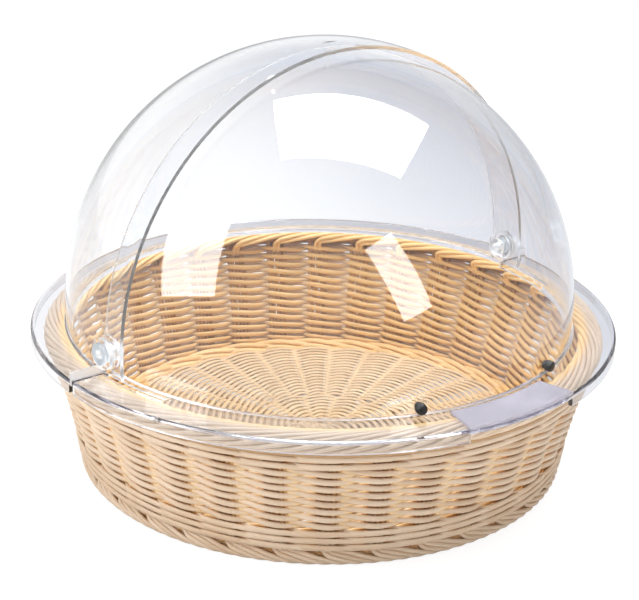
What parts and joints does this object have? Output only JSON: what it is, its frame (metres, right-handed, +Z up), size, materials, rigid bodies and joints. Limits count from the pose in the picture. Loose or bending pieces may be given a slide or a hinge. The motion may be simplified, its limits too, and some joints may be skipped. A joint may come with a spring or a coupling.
{
  "type": "countertop bread display bin",
  "caption": "Round woven basket with a clear two-part roll-top hood for showing bread or pastry on a counter.",
  "frame": {"origin": "centre of the basket's foot, on the counter", "axes": "+Z up; the hood's hinge axis runs along X; the opening front faces -Y"},
  "size_m": [0.42, 0.42, 0.3068],
  "materials": {
    "cane_side": "satin woven plastic cane, cream",
    "cane_rim": "satin plaited plastic cane, pale cream",
    "cane_stake": "satin plastic cane, light tan",
    "cane_base": "satin woven plastic cane, straw",
    "clear_shell": "clear moulded plastic, polished",
    "grip_plastic": "milky clear moulded plastic",
    "pivot_plastic": "clear moulded plastic",
    "black_rubber": "smooth black rubber"
  },
  "bodies": {
    "basket": {"base_mat": "cane_base", "foot_border": "cane_rim", "lower_wale": "cane_side", "side_weave": "cane_side", "upper_wale": "cane_side", "rim_border": "cane_rim", "stake_1": "cane_stake", "stake_2": "cane_stake", "stake_3": "cane_stake", "stake_4": "cane_stake", "stake_5": "cane_stake", "stake_6": "cane_stake", "stake_7": "cane_stake", "stake_8": "cane_stake", "stake_9": "cane_stake", "stake_10": "cane_stake", "stake_11": "cane_stake", "stake_12": "cane_stake", "stake_13": "cane_stake", "stake_14": "cane_stake", "stake_15": "cane_stake", "stake_16": "cane_stake", "stake_17": "cane_stake", "stake_18": "cane_stake", "stake_19": "cane_stake", "stake_20": "cane_stake", "stake_21": "cane_stake", "stake_22": "cane_stake", "stake_23": "cane_stake", "stake_24": "cane_stake", "stake_25": "cane_stake", "stake_26": "cane_stake", "stake_27": "cane_stake", "stake_28": "cane_stake", "stake_29": "cane_stake", "stake_30": "cane_stake", "stake_31": "cane_stake", "stake_32": "cane_stake", "stake_33": "cane_stake", "stake_34": "cane_stake"},
    "rear_hood": {"rear_cover": "clear_shell", "left_pivot_pin": "pivot_plastic", "right_pivot_pin": "pivot_plastic", "left_pivot_spacer": "pivot_plastic", "right_pivot_spacer": "pivot_plastic", "left_pivot_cap": "pivot_plastic", "right_pivot_cap": "pivot_plastic"},
    "front_hood": {"front_cover": "clear_shell", "lift_grip": "grip_plastic", "left_bumper": "black_rubber", "right_bumper": "black_rubber"}
  },
  "joints": [
    {"name": "hood_lift", "type": "slide", "parent": "basket", "child": "rear_hood", "axis": [0, 0, 1], "range_m": [0, 0.12]},
    {"name": "front_roll", "type": "hinge", "parent": "rear_hood", "child": "front_hood", "pos_m": [0, 0, 0.1218], "axis": [-1, 0, 0], "range_deg": [0, 85.7]}
  ]
}
